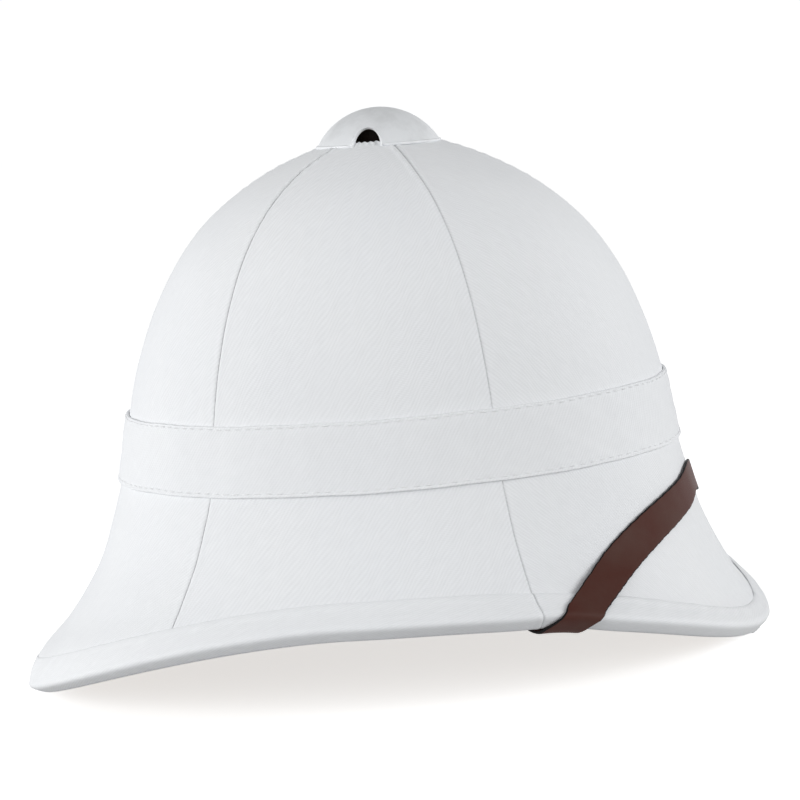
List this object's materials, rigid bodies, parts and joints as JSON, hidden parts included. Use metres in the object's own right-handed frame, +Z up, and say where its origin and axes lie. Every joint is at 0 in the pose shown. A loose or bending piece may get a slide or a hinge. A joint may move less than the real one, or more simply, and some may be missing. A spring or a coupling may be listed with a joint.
{
  "type": "pith helmet",
  "caption": "Cloth-covered sun helmet: tall rounded crown with a folded band and a vented button on top, a bound brim low at front and rear, and a leather chin strap laid over the front.",
  "frame": {"origin": "middle of the footprint, on the surface the rim rests on", "axes": "+Z up, -Y the front of the helmet, +X the wearer's left"},
  "size_m": [0.2768, 0.3324, 0.2409],
  "materials": {
    "cork": "fine-grained cork, matt",
    "cover_cloth": "white cotton drill",
    "band_cloth": "white cotton drill, folded and stitched at both edges",
    "binding_cloth": "white cotton drill cut on the bias",
    "vent_paint": "white enamel on pressed sheet, satin",
    "strap_leather": "dark reddish brown, low sheen, black edges",
    "stud_brass": "dull brass"
  },
  "bodies": {
    "root": {"cork_shell": "cork", "cover_panel_front_right": "cover_cloth", "cover_panel_front_left": "cover_cloth", "cover_panel_side_right": "cover_cloth", "cover_panel_side_left": "cover_cloth", "cover_panel_rear_right": "cover_cloth", "cover_panel_rear_left": "cover_cloth", "crown_band": "band_cloth", "brim_binding": "binding_cloth", "ventilator": "vent_paint", "chin_strap": "strap_leather", "strap_stud_right": "stud_brass", "strap_stud_left": "stud_brass"}
  },
  "joints": []
}
